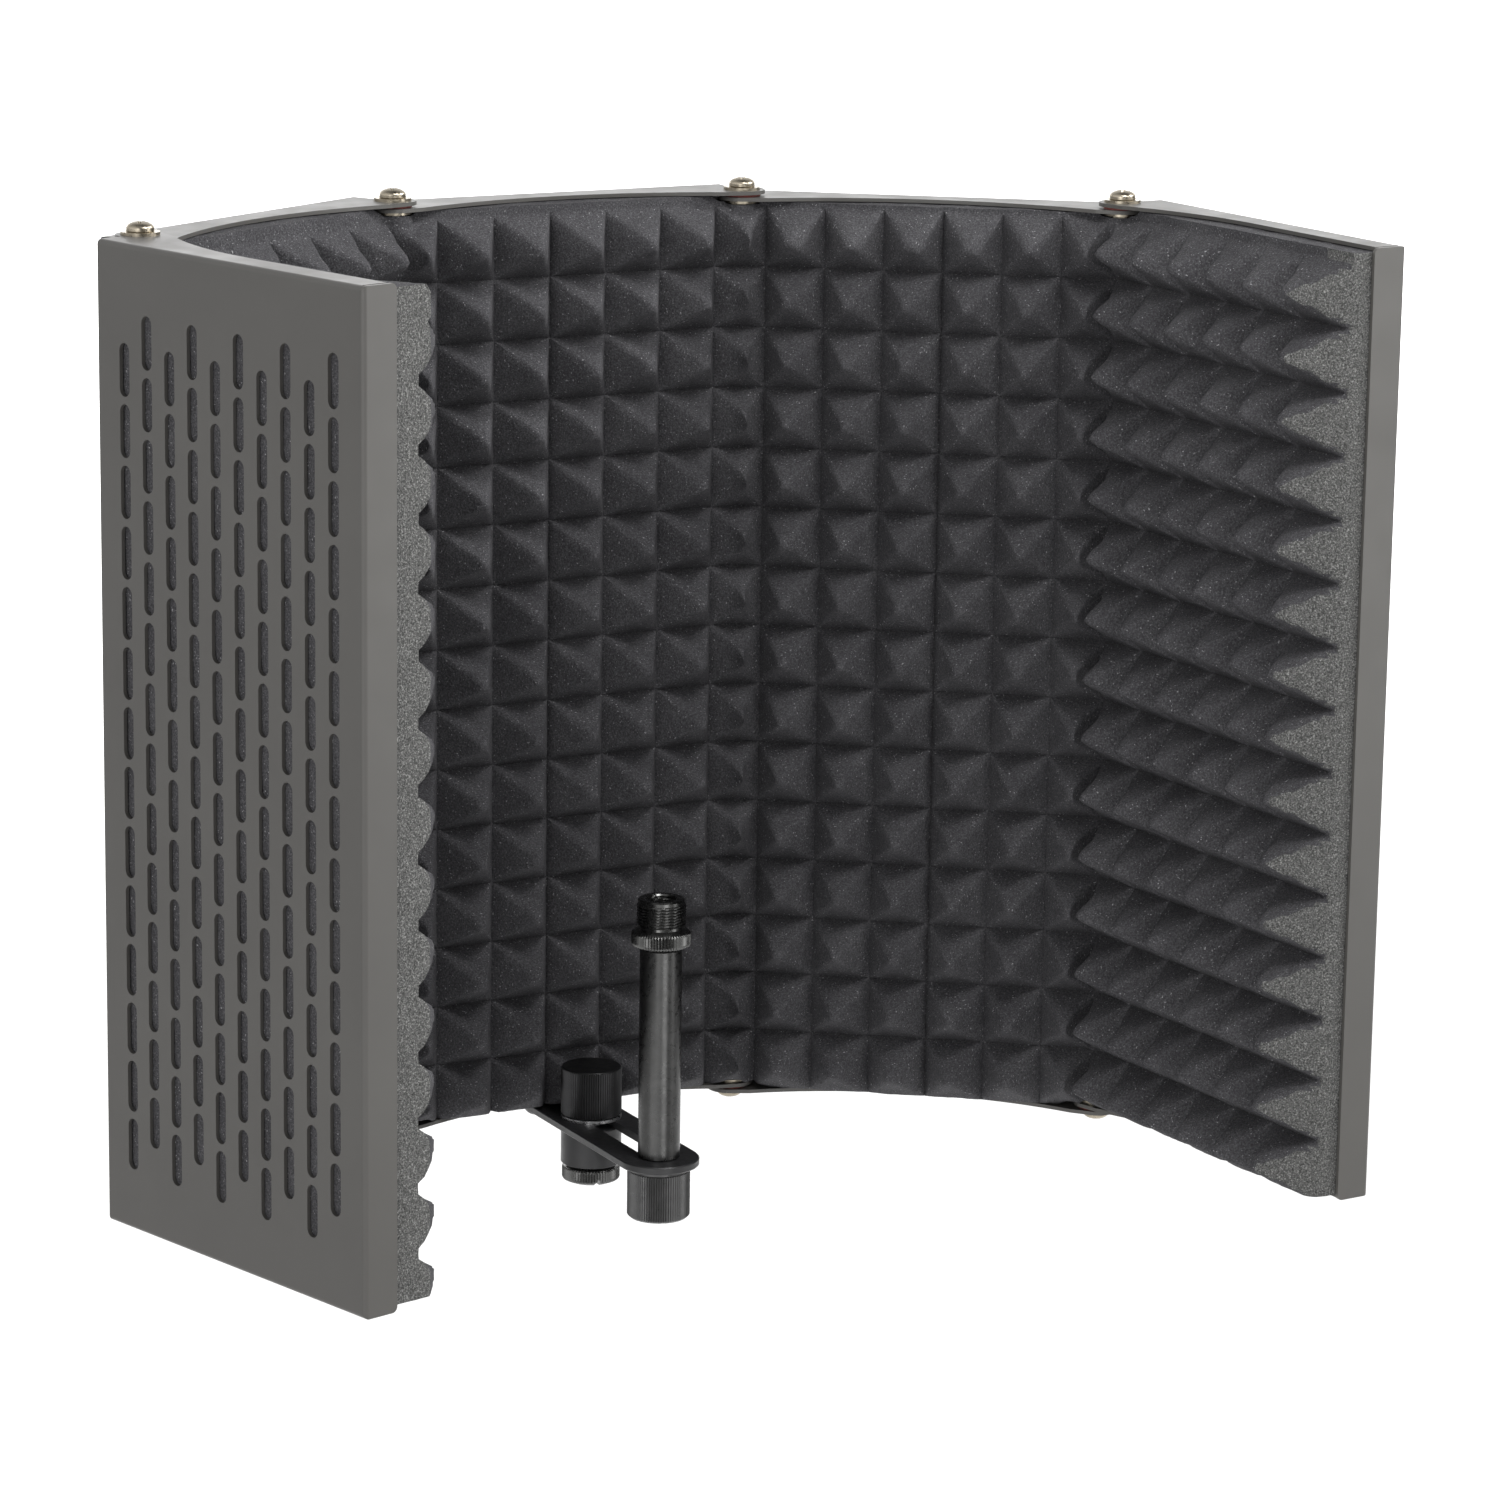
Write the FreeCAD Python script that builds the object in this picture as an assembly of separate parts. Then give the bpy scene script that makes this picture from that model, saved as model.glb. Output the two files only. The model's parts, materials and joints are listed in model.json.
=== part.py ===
import FreeCAD, Part
import math
import os

os.makedirs("parts", exist_ok=True)

V = FreeCAD.Vector
UP = V(0, 0, 1)

# ---------------------------------------------------------------- driving dimensions, millimetres
panel_height = 300.0
hinge_pitch = 123.3         # hinge axis to hinge axis of a three-way panel
end_panel_length = 124.5    # hinge axis to the free edge of an end panel
hinge_inset = 16.1          # outer face of a panel to its hinge axis
sheet = 1.2                 # steel sheet thickness
bend_radius = 1.5           # outside radius of the folded edges
wall_gap = 0.75             # wall end to hinge axis
lug_radius = 7.5
tab_corner_along = 7.8
tab_corner_depth = 22.0
flange_mid_depth = 11.0
end_flange_depth = 12.0
end_lip_depth = 10.2        # top and bottom flange depth at the free edge
end_arc_run = 60.0          # where the curved inner edge of an end panel turns straight
end_slit = 1.0              # open slit at the unwelded free corner
end_corner_radius = 1.8

slot_width = 4.8
slot_length = 15.9
slot_pitch_across = 10.86
slot_pitch_down = 18.14
slot_columns = 10
slot_rows = 14
slot_top_centre = 271.95    # top slot of a high column, above the panel's lower edge

fold_left_inner = 29.0
fold_left_outer = 76.0
fold_right_inner = 37.1
fold_right_outer = 48.7
fibre_thickness = 0.8
level_step = sheet + fibre_thickness

foam_back_depth = 1.4
foam_front_depth = 22.0     # mean depth of the pyramid face
foam_edge_gap = 0.45
foam_lid_gap = 0.2
foam_notch_radius = 9.2
foam_notch_height = 10.0

screw_radius = 2.0          # M4
screw_clearance = 0.05
head_radius = 4.2
head_height = 3.0
washer_radius = 5.9
washer_thickness = 0.9
fibre_radius = 6.0
nut_across_flats = 7.0
nut_height = 3.2
screw_tail = 1.9

# heights in the bracket, measured from the mouth of the stand thread
panel_base = 21.8           # lower edge of the centre panel and top of the bracket plate
plate_thickness = 2.5
plate_half_width = 13.0
plate_rear = 30.3
slot_half_width = 4.2
post_y = -49.2
hinge_line_y = 16.3
centre_panel_x = -2.0
bolt_spread = 7.0
bolt_y = 26.6
slip_gap = 0.1

adapter_ring_radius = 9.5
adapter_ring_height = 6.5
adapter_length = 17.1
adapter_neck_radius = 6.9
adapter_neck_height = 1.2
male_thread_radius = 7.9375  # 5/8 inch
female_thread_radius = 4.0   # 3/8 inch, crest
adapter_teeth = 60

stud_radius = 3.7           # M8, drawn at its thread's mean size
stud_hole_radius = 4.3
stud_recess = 0.6           # clamp stud stops short of the stand thread
socket_radius = 9.95
clamp_washer_radius = 10.0
clamp_washer_thickness = 1.0
clamp_knob_radius = 9.95
clamp_knob_top = panel_base + 17.15
clamp_stud_top = panel_base + 14.5
post_radius = 6.75
post_height = 69.2
post_knob_radius = 10.1
post_knob_bottom = panel_base - 19.7
post_stud_bottom = panel_base - 17.0
post_stud_top = panel_base + 12.0
post_spigot = 10.0
knob_teeth = 76
knurl_depth = 0.35


# ---------------------------------------------------------------- shared helpers
def export(shape, node):
    shape.exportStep("parts/" + node + ".step")


def placed(shape, spot, heading, level):
    copy = shape.copy()
    copy.rotate(V(0, 0, 0), UP, heading)
    copy.translate(V(spot.x, spot.y, panel_base + level))
    return copy


def rod(radius, z_low, z_high, x=0.0, y=0.0):
    return Part.makeCylinder(radius, z_high - z_low, V(x, y, z_low))


def turned(points):
    profile = Part.Face(Part.makePolygon(points + [points[0]]))
    return profile.revolve(V(0, 0, 0), UP, 360)


def knurled(radius, teeth, depth, z_low, z_high):
    points = []
    for i in range(2 * teeth):
        reach = radius if i % 2 == 0 else radius - depth
        angle = math.pi * i / teeth
        points.append(V(reach * math.cos(angle), reach * math.sin(angle), z_low))
    face = Part.Face(Part.makePolygon(points + [points[0]]))
    return face.extrude(V(0, 0, z_high - z_low))


# ---------------------------------------------------------------- folded steel panels
def hinge_end(mirror_at=None):
    """Edges round one hinge lug, from the outer face to the tab corner, and that corner."""
    reach = math.sqrt(lug_radius ** 2 - wall_gap ** 2)
    outer = V(wall_gap, hinge_inset, 0)
    shoulder = V(wall_gap, reach, 0)
    tip = V(-lug_radius, 0, 0)
    foot = V(0, -lug_radius, 0)
    corner = V(tab_corner_along, hinge_inset - tab_corner_depth, 0)
    points = [outer, shoulder, tip, foot, corner]
    if mirror_at is not None:
        points = [V(mirror_at - p.x, p.y, 0) for p in points]
    outer, shoulder, tip, foot, corner = points
    edges = [
        Part.makeLine(outer, shoulder),
        Part.Arc(shoulder, tip, foot).toShape(),
        Part.makeLine(foot, corner),
    ]
    return edges, outer, corner


def plan_prism(edges):
    outline = Part.Wire(Part.__sortEdges__(edges))
    prism = Part.Face(outline).extrude(V(0, 0, panel_height + 2))
    prism.translate(V(0, 0, -1))
    return prism


def folded_channel(length):
    """C-section sheet along X, with its outer face at the hinge inset."""
    run = length + 40
    outer = Part.makeBox(run, 30 + hinge_inset, panel_height, V(-20, -30, 0))
    outer = outer.makeFillet(bend_radius, edges_along_x(outer, hinge_inset))
    inner_y = hinge_inset - sheet
    inner = Part.makeBox(run + 2, 31 + inner_y, panel_height - 2 * sheet, V(-21, -31, sheet))
    inner = inner.makeFillet(bend_radius - sheet, edges_along_x(inner, inner_y))
    return outer.cut(inner)


def edges_along_x(shape, y):
    found = []
    for edge in shape.Edges:
        box = edge.BoundBox
        if box.XLength > 1 and abs(box.YMin - y) < 0.01 and abs(box.YMax - y) < 0.01:
            found.append(edge)
    return found


def vent_slots(length, first_is_high):
    """Round-ended upright slots in staggered columns."""
    slots = []
    half = slot_width / 2
    straight = (slot_length - slot_width) / 2
    for column in range(slot_columns):
        x = length / 2 + (column - (slot_columns - 1) / 2) * slot_pitch_across
        is_high = (column % 2 == 0) == first_is_high
        top = slot_top_centre if is_high else slot_top_centre - slot_pitch_down / 2
        for row in range(slot_rows):
            z = top - row * slot_pitch_down
            y = hinge_inset - 4
            right = Part.makeLine(V(x + half, y, z - straight), V(x + half, y, z + straight))
            crown = Part.Arc(
                V(x + half, y, z + straight), V(x, y, z + straight + half), V(x - half, y, z + straight)
            ).toShape()
            left = Part.makeLine(V(x - half, y, z + straight), V(x - half, y, z - straight))
            base = Part.Arc(
                V(x - half, y, z - straight), V(x, y, z - straight - half), V(x + half, y, z - straight)
            ).toShape()
            outline = Part.Face(Part.Wire([right, crown, left, base]))
            slots.append(outline.extrude(V(0, 8, 0)))
    return Part.makeCompound(slots)


def hinge_hole(x):
    return rod(screw_radius + screw_clearance, -1, panel_height + 1, x)


def inner_shell():
    """Panel hinged at both ends, between x = 0 and x = hinge_pitch."""
    left_edges, left_outer, left_corner = hinge_end()
    right_edges, right_outer, right_corner = hinge_end(hinge_pitch)
    middle = V(hinge_pitch / 2, hinge_inset - flange_mid_depth, 0)
    scallop = Part.Arc(left_corner, middle, right_corner).toShape()
    back = Part.makeLine(right_outer, left_outer)
    prism = plan_prism(left_edges + [scallop] + right_edges + [back])
    shell = folded_channel(hinge_pitch).common(prism)
    shell = shell.cut(vent_slots(hinge_pitch, True))
    return shell.cut(hinge_hole(0)).cut(hinge_hole(hinge_pitch))


def end_shell():
    """Panel hinged at x = 0 with a return flange at its free edge."""
    edges, outer, corner = hinge_end()
    stop = end_panel_length - sheet - end_slit
    lip_y = hinge_inset - end_lip_depth
    run = end_arc_run - tab_corner_along
    drop = lip_y - corner.y
    radius = (run ** 2 + drop ** 2) / (2 * drop)
    half_run = run / 2
    middle = V(end_arc_run - half_run, lip_y - radius + math.sqrt(radius ** 2 - half_run ** 2), 0)
    arc_end = V(end_arc_run, lip_y, 0)
    lip_end = V(stop, lip_y, 0)
    back_end = V(stop, hinge_inset, 0)
    edges.append(Part.Arc(corner, middle, arc_end).toShape())
    edges.append(Part.makeLine(arc_end, lip_end))
    edges.append(Part.makeLine(lip_end, back_end))
    edges.append(Part.makeLine(back_end, outer))
    shell = folded_channel(end_panel_length).common(plan_prism(edges))
    shell = shell.fuse(end_return(stop)).removeSplitter()
    shell = shell.cut(vent_slots(end_panel_length, False))
    return shell.cut(hinge_hole(0))


def end_return(start):
    """Upright corner strip: the last of the wall, the bend and the return flange."""
    wall = Part.makeBox(
        end_panel_length - start, end_flange_depth, panel_height,
        V(start, hinge_inset - end_flange_depth, 0),
    )
    bend = []
    for edge in wall.Edges:
        box = edge.BoundBox
        if box.ZLength > 1 and box.XMin > end_panel_length - 0.01 and box.YMin > hinge_inset - 0.01:
            bend.append(edge)
    strip = wall.makeFillet(bend_radius, bend)
    hollow = Part.makeBox(
        end_panel_length - sheet - start + 1, end_flange_depth - sheet + 1, panel_height + 2,
        V(start - 1, hinge_inset - end_flange_depth - 1, -1),
    )
    strip = strip.cut(hollow)
    frame = Part.makeBox(
        end_panel_length, end_flange_depth, panel_height, V(0, hinge_inset - end_flange_depth, 0)
    )
    frame = frame.makeFillet(bend_radius, edges_along_x(frame, hinge_inset))
    frame = frame.makeFillet(
        end_corner_radius, edges_along_x(frame, hinge_inset - end_flange_depth)
    )
    return strip.common(frame)


# ---------------------------------------------------------------- foam linings, plain slabs
def foam_slab(length, hinged_far_end):
    back = hinge_inset - foam_back_depth
    front = hinge_inset - foam_front_depth
    near = foam_edge_gap
    points = [V(near, back, 0), V(near, 0, 0), V(near - front, front, 0)]
    if hinged_far_end:
        far = length - foam_edge_gap
        points += [V(far + front, front, 0), V(far, 0, 0), V(far, back, 0)]
    else:
        far = length - sheet - foam_edge_gap
        points += [V(far, front, 0), V(far, back, 0)]
    face = Part.Face(Part.makePolygon(points + [points[0]]))
    floor = sheet + foam_lid_gap
    slab = face.extrude(V(0, 0, panel_height - 2 * floor))
    slab.translate(V(0, 0, floor))
    hinges = [0, length] if hinged_far_end else [0]
    for x in hinges:
        slab = slab.cut(rod(foam_notch_radius, -1, foam_notch_height, x))
        slab = slab.cut(rod(foam_notch_radius, panel_height - foam_notch_height, panel_height + 1, x))
    return slab


# ---------------------------------------------------------------- hinge hardware
def pan_head_screw(length):
    """Head on top, its underside at z = 0, shank down to z = -length."""
    rim = V(head_radius, 0, 0)
    shoulder = V(head_radius, 0, 1.0)
    crown = V(0, 0, head_height)
    edges = [
        Part.makeLine(V(0, 0, 0), rim),
        Part.makeLine(rim, shoulder),
        Part.Arc(shoulder, V(head_radius * 0.72, 0, head_height * 0.8), crown).toShape(),
        Part.makeLine(crown, V(0, 0, 0)),
    ]
    head = Part.Face(Part.Wire(edges)).revolve(V(0, 0, 0), UP, 360)
    screw = head.fuse(rod(screw_radius, -length, 0))
    for across, along in ((0.9, 4.6), (4.6, 0.9)):
        recess = Part.makeBox(across, along, 3, V(-across / 2, -along / 2, head_height - 1.7))
        screw = screw.cut(recess)
    return screw.removeSplitter()


def ring(outer, inner, thickness):
    return rod(outer, 0, thickness).cut(rod(inner, -1, thickness + 1))


def hex_nut():
    points = []
    corner = nut_across_flats / math.sqrt(3)
    for i in range(6):
        angle = math.radians(60 * i + 15)
        points.append(V(corner * math.cos(angle), corner * math.sin(angle), 0))
    body = Part.Face(Part.makePolygon(points + [points[0]])).extrude(V(0, 0, nut_height))
    return body.cut(rod(screw_radius, -1, nut_height + 1))


def shifted(shape, x, y, z, upside_down=False):
    copy = shape.copy()
    if upside_down:
        copy.rotate(V(0, 0, 0), V(1, 0, 0), 180)
    copy.translate(V(x, y, z))
    return copy


def hinge_hardware(hinges, name):
    """Screws, washers, fibre washers and nuts of the listed hinges, as four grouped nodes."""
    screws, washers, fibres, nuts = [], [], [], []
    clamp_stack = 2 * sheet + fibre_thickness
    top_screw = pan_head_screw(clamp_stack + 2 * washer_thickness + nut_height + screw_tail)
    low_screw = pan_head_screw(clamp_stack + washer_thickness + nut_height + screw_tail)
    washer = ring(washer_radius, screw_radius, washer_thickness)
    fibre = ring(fibre_radius, screw_radius + screw_clearance, fibre_thickness)
    nut = hex_nut()
    for spot, lower_level in hinges:
        x, y = spot.x, spot.y
        tab = panel_base + lower_level + panel_height
        lid = tab + fibre_thickness + sheet
        screws.append(shifted(top_screw, x, y, lid + washer_thickness))
        washers.append(shifted(washer, x, y, lid))
        fibres.append(shifted(fibre, x, y, tab))
        washers.append(shifted(washer, x, y, tab - sheet - washer_thickness))
        nuts.append(shifted(nut, x, y, tab - sheet - washer_thickness - nut_height))
        foot = panel_base + lower_level
        screws.append(shifted(low_screw, x, y, foot, True))
        fibres.append(shifted(fibre, x, y, foot + sheet))
        washers.append(shifted(washer, x, y, foot + clamp_stack))
        nuts.append(shifted(nut, x, y, foot + clamp_stack + washer_thickness))
    export(Part.makeCompound(screws), name + "_hinge_screws")
    export(Part.makeCompound(washers), name + "_hinge_washers")
    export(Part.makeCompound(fibres), name + "_hinge_fibre_washers")
    export(Part.makeCompound(nuts), name + "_hinge_nuts")


# ---------------------------------------------------------------- layout of the folded shield
def step_along(spot, heading, distance):
    angle = math.radians(heading)
    return V(spot.x + distance * math.cos(angle), spot.y + distance * math.sin(angle), 0)


hinge_2 = V(centre_panel_x - hinge_pitch / 2, hinge_line_y, 0)
hinge_3 = V(centre_panel_x + hinge_pitch / 2, hinge_line_y, 0)
heading_left_inner = fold_left_inner
heading_left_outer = fold_left_inner + fold_left_outer
heading_right_inner = -fold_right_inner
heading_right_outer = -fold_right_inner - fold_right_outer
hinge_1 = step_along(hinge_2, heading_left_inner, -hinge_pitch)
hinge_4 = step_along(hinge_3, heading_right_inner, hinge_pitch)

level_left_outer = 2 * level_step
level_left_inner = level_step
level_right_inner = -level_step
level_right_outer = 0.0

inner = inner_shell()
outer_right = end_shell()
outer_left = outer_right.mirror(V(0, 0, 0), V(1, 0, 0))
inner_foam = foam_slab(hinge_pitch, True)
outer_foam_right = foam_slab(end_panel_length, False)
outer_foam_left = outer_foam_right.mirror(V(0, 0, 0), V(1, 0, 0))

export(placed(outer_left, hinge_1, heading_left_outer, level_left_outer), "left_outer_panel_shell")
export(placed(inner, hinge_1, heading_left_inner, level_left_inner), "left_inner_panel_shell")
export(placed(inner, hinge_3, heading_right_inner, level_right_inner), "right_inner_panel_shell")
export(placed(outer_right, hinge_4, heading_right_outer, level_right_outer), "right_outer_panel_shell")
export(placed(outer_foam_left, hinge_1, heading_left_outer, level_left_outer), "left_outer_foam")
export(placed(inner_foam, hinge_1, heading_left_inner, level_left_inner), "left_inner_foam")
export(placed(inner_foam, hinge_3, heading_right_inner, level_right_inner), "right_inner_foam")
export(placed(outer_foam_right, hinge_4, heading_right_outer, level_right_outer), "right_outer_foam")

# the centre panel also carries the bracket's two bolts
centre_shell = placed(inner, hinge_2, 0, 0)
centre_foam = placed(inner_foam, hinge_2, 0, 0)
bolts = []
bolt_nuts = []
bolt_length = plate_thickness + sheet + nut_height + 1.0
for side in (-1, 1):
    x = side * bolt_spread
    centre_shell = centre_shell.cut(rod(screw_radius, panel_base - 1, panel_base + 3, x, bolt_y))
    relief = rod(nut_across_flats * 0.62, panel_base, panel_base + sheet + nut_height + 2, x, bolt_y)
    centre_foam = centre_foam.cut(relief)
    bolts.append(shifted(pan_head_screw(bolt_length), x, bolt_y, panel_base - plate_thickness, True))
    bolt_nuts.append(shifted(hex_nut(), x, bolt_y, panel_base + sheet))
export(centre_shell, "centre_panel_shell")
export(centre_foam, "centre_foam")
export(Part.makeCompound(bolts), "bracket_screws")
export(Part.makeCompound(bolt_nuts), "bracket_nuts")

hinge_hardware([(hinge_1, level_left_inner)], "left")
hinge_hardware([(hinge_2, 0.0), (hinge_3, level_right_inner)], "centre")
hinge_hardware([(hinge_4, level_right_inner)], "right")


# ---------------------------------------------------------------- slotted bracket plate
def stadium(half_width, y_front, y_rear, z_low, z_high, square_rear):
    left_front = V(-half_width, y_front, z_low)
    right_front = V(half_width, y_front, z_low)
    left_rear = V(-half_width, y_rear, z_low)
    right_rear = V(half_width, y_rear, z_low)
    front = Part.Arc(left_front, V(0, y_front - half_width, z_low), right_front).toShape()
    if square_rear:
        rear = Part.makeLine(right_rear, left_rear)
    else:
        rear = Part.Arc(right_rear, V(0, y_rear + half_width, z_low), left_rear).toShape()
    edges = [front, Part.makeLine(right_front, right_rear), rear, Part.makeLine(left_rear, left_front)]
    return Part.Face(Part.Wire(edges)).extrude(V(0, 0, z_high - z_low))


plate_low = panel_base - plate_thickness
plate = stadium(plate_half_width, post_y, plate_rear, plate_low, panel_base, True)
plate = plate.makeChamfer(0.35, [edge for edge in plate.Edges if edge.BoundBox.ZLength < 0.01])
plate = plate.cut(stadium(slot_half_width, post_y, 0, plate_low - 1, panel_base + 1, False))
for side in (-1, 1):
    plate = plate.cut(rod(screw_radius, plate_low - 1, panel_base + 1, side * bolt_spread, bolt_y))
export(plate, "bracket_plate")


# ---------------------------------------------------------------- 5/8 to 3/8 inch thread adapter
def thread_adapter(notch_angle):
    """Serrated ring below, male thread above, threaded bore right through, foot at z = 0."""
    ring_top = adapter_ring_height
    neck_top = ring_top + adapter_neck_height
    teeth = knurled(adapter_ring_radius, adapter_teeth, knurl_depth, 0, ring_top)
    round_off = turned([
        V(0, 0, 0),
        V(adapter_ring_radius - 1.2, 0, 0),
        V(adapter_ring_radius - 0.5, 0, 0.25),
        V(adapter_ring_radius - 0.1, 0, 0.9),
        V(adapter_ring_radius + 0.1, 0, 1.6),
        V(adapter_ring_radius + 0.1, 0, ring_top - 0.5),
        V(adapter_ring_radius - 0.5, 0, ring_top),
        V(0, 0, ring_top),
    ])
    body = teeth.common(round_off)
    male = turned([
        V(0, 0, ring_top - 1),
        V(adapter_neck_radius, 0, ring_top - 1),
        V(adapter_neck_radius, 0, neck_top),
        V(male_thread_radius, 0, neck_top),
        V(male_thread_radius, 0, adapter_length - 0.8),
        V(male_thread_radius - 0.8, 0, adapter_length),
        V(0, 0, adapter_length),
    ])
    body = body.fuse(male)
    body = body.cut(rod(female_thread_radius, -1, adapter_length + 1))
    notch = Part.Face(Part.makePolygon([
        V(5, -1.1, -0.1), V(5, 1.1, -0.1), V(5, 0, 2.0), V(5, -1.1, -0.1),
    ])).extrude(V(10, 0, 0))
    notch.rotate(V(0, 0, 0), UP, notch_angle)
    return body.cut(notch)


# ---------------------------------------------------------------- stand side: socket, stud, washer, knob
socket_top = plate_low - slip_gap
socket_low = adapter_ring_height
bore_top = adapter_length
socket = turned([
    V(0, 0, socket_low),
    V(socket_radius - 0.3, 0, socket_low),
    V(socket_radius, 0, socket_low + 0.3),
    V(socket_radius, 0, socket_top - 0.3),
    V(socket_radius - 0.3, 0, socket_top),
    V(0, 0, socket_top),
])
socket = socket.cut(rod(male_thread_radius, socket_low - 1, bore_top))
socket = socket.cut(rod(stud_radius, bore_top - 1, socket_top + 1))
export(socket, "stand_socket")
export(thread_adapter(-100), "stand_thread_adapter")
export(rod(stud_radius, bore_top + stud_recess, clamp_stud_top), "clamp_stud")

clamp_washer = ring(clamp_washer_radius, stud_hole_radius, clamp_washer_thickness)
export(shifted(clamp_washer, 0, 0, panel_base), "clamp_washer")

knob_low = panel_base + clamp_washer_thickness + slip_gap
knob_envelope = turned([
    V(0, 0, knob_low),
    V(clamp_knob_radius - 0.5, 0, knob_low),
    V(clamp_knob_radius + 0.1, 0, knob_low + 0.6),
    V(clamp_knob_radius + 0.1, 0, clamp_knob_top - 0.7),
    V(clamp_knob_radius - 0.6, 0, clamp_knob_top),
    V(0, 0, clamp_knob_top),
])
clamp_knob = knurled(clamp_knob_radius, knob_teeth, knurl_depth, knob_low, clamp_knob_top)
clamp_knob = clamp_knob.common(knob_envelope)
clamp_knob = clamp_knob.cut(rod(stud_radius + 0.05, knob_low - 1, clamp_stud_top + 0.5))
export(clamp_knob, "clamp_knob")

# ---------------------------------------------------------------- microphone side: post, stud, knob
post_top = panel_base + post_height
post = turned([
    V(0, 0, panel_base),
    V(post_radius - 0.4, 0, panel_base),
    V(post_radius, 0, panel_base + 0.4),
    V(post_radius, 0, post_top - 0.4),
    V(post_radius - 0.4, 0, post_top),
    V(female_thread_radius, 0, post_top),
    V(female_thread_radius, 0, post_top + post_spigot),
    V(0, 0, post_top + post_spigot),
])
post = post.cut(rod(stud_radius, panel_base - 1, post_stud_top))
export(shifted(post, 0, post_y, 0), "mic_post")
export(rod(stud_radius, post_stud_bottom, post_stud_top, 0, post_y), "post_stud")
export(shifted(thread_adapter(15), 0, post_y, post_top), "post_thread_adapter")

collar_low = plate_low - slip_gap - 1.5
post_knob_top = plate_low - slip_gap
collar = turned([
    V(0, 0, collar_low),
    V(post_knob_radius - 0.4, 0, collar_low),
    V(post_knob_radius - 0.4, 0, post_knob_top - 0.4),
    V(post_knob_radius - 0.8, 0, post_knob_top),
    V(0, 0, post_knob_top),
])
grip_envelope = turned([
    V(0, 0, post_knob_bottom),
    V(post_knob_radius - 0.8, 0, post_knob_bottom),
    V(post_knob_radius + 0.1, 0, post_knob_bottom + 0.9),
    V(post_knob_radius + 0.1, 0, collar_low - 0.5),
    V(post_knob_radius - 0.4, 0, collar_low),
    V(0, 0, collar_low),
])
grip = knurled(post_knob_radius, knob_teeth, knurl_depth, post_knob_bottom, collar_low)
post_knob = grip.common(grip_envelope).fuse(collar)
post_knob = post_knob.cut(rod(stud_radius + 0.05, post_stud_bottom - 0.5, post_knob_top + 1))
export(shifted(post_knob, 0, post_y, 0), "post_knob")
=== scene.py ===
import json
import math

import bpy
import numpy as np
from mathutils import Matrix, Vector


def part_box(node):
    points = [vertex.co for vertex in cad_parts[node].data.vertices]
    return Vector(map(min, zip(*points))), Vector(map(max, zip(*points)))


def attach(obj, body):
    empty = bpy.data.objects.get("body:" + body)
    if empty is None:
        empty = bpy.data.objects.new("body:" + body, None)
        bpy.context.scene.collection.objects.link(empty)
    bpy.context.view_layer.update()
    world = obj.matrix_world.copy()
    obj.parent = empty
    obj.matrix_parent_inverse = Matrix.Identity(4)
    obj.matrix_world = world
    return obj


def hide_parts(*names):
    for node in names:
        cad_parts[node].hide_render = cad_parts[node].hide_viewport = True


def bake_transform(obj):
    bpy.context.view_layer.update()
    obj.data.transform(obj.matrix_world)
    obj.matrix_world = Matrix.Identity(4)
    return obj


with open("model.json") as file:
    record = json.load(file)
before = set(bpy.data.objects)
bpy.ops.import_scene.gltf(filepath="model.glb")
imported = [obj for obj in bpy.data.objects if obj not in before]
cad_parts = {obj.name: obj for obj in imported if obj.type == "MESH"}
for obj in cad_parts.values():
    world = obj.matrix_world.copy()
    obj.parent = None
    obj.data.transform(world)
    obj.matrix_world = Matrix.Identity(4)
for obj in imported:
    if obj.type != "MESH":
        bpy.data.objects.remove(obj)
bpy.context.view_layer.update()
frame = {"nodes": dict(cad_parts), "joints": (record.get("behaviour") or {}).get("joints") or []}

MM = 0.001
SEED = 7

# ---------------------------------------------------------------- layout, from the frame's joints
joints = {joint["name"]: joint for joint in frame["joints"]}


def joint_spot(name):
    return np.array(joints[name]["pos_m"][:2]) / MM


HINGE_1 = joint_spot("left_outer_fold")
HINGE_2 = joint_spot("left_inner_fold")
HINGE_3 = joint_spot("right_inner_fold")
HINGE_4 = joint_spot("right_outer_fold")
END_PANEL = 124.5
PANEL_BASE = 21.8
PANEL_HEIGHT = 300.0
LEVELS = (4.0, 2.0, 0.0, -2.0, 0.0)
LEFT_HEADING = math.radians(105.0)
RIGHT_HEADING = math.radians(-85.8)
END_1 = HINGE_1 - END_PANEL * np.array([math.cos(LEFT_HEADING), math.sin(LEFT_HEADING)])
END_5 = HINGE_4 + END_PANEL * np.array([math.cos(RIGHT_HEADING), math.sin(RIGHT_HEADING)])
CORNERS = [END_1, HINGE_1, HINGE_2, HINGE_3, HINGE_4, END_5]
LENGTHS = [float(np.linalg.norm(b - a)) for a, b in zip(CORNERS, CORNERS[1:])]
ALONG = [(b - a) / length for a, b, length in zip(CORNERS, CORNERS[1:], LENGTHS)]
STATIONS = np.concatenate([[0.0], np.cumsum(LENGTHS)])

# ---------------------------------------------------------------- foam sizes, millimetres
FOAM_BACK = -14.7           # behind the hinge line, against the steel
FOAM_VALLEY = 1.6           # in front of the hinge line
PYRAMID = 16.8
FLANK = 0.45                # share of a cell's width taken by each flank
FOAM_BEND = 20.0            # radius of the lining where it turns at a hinge
LINING_START = -12.77       # pyramids counted from the second hinge, at the first panel's edge
EDGE_TRIM = 0.08            # share of a pyramid cut off there
LINING_END = 19.30
ROW_PITCH = 19.7
FIRST_VALLEY = 19.4
CELLS_DOWN = 12             # mesh divisions of one pyramid
CELLS_ACROSS = 12
LAYERS = 9
RIDGE_ROUNDING = 0.6
LAST_TIP = 18.5             # past this the lining is cut down to the edge on a slant
SLANT_END = 19.28
LID_GAP = 1.5
LAST_ROW = 295.5            # height of the last regular row of mesh points
CUT_LOW = 3.4               # height left by the knife between two pyramids
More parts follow.
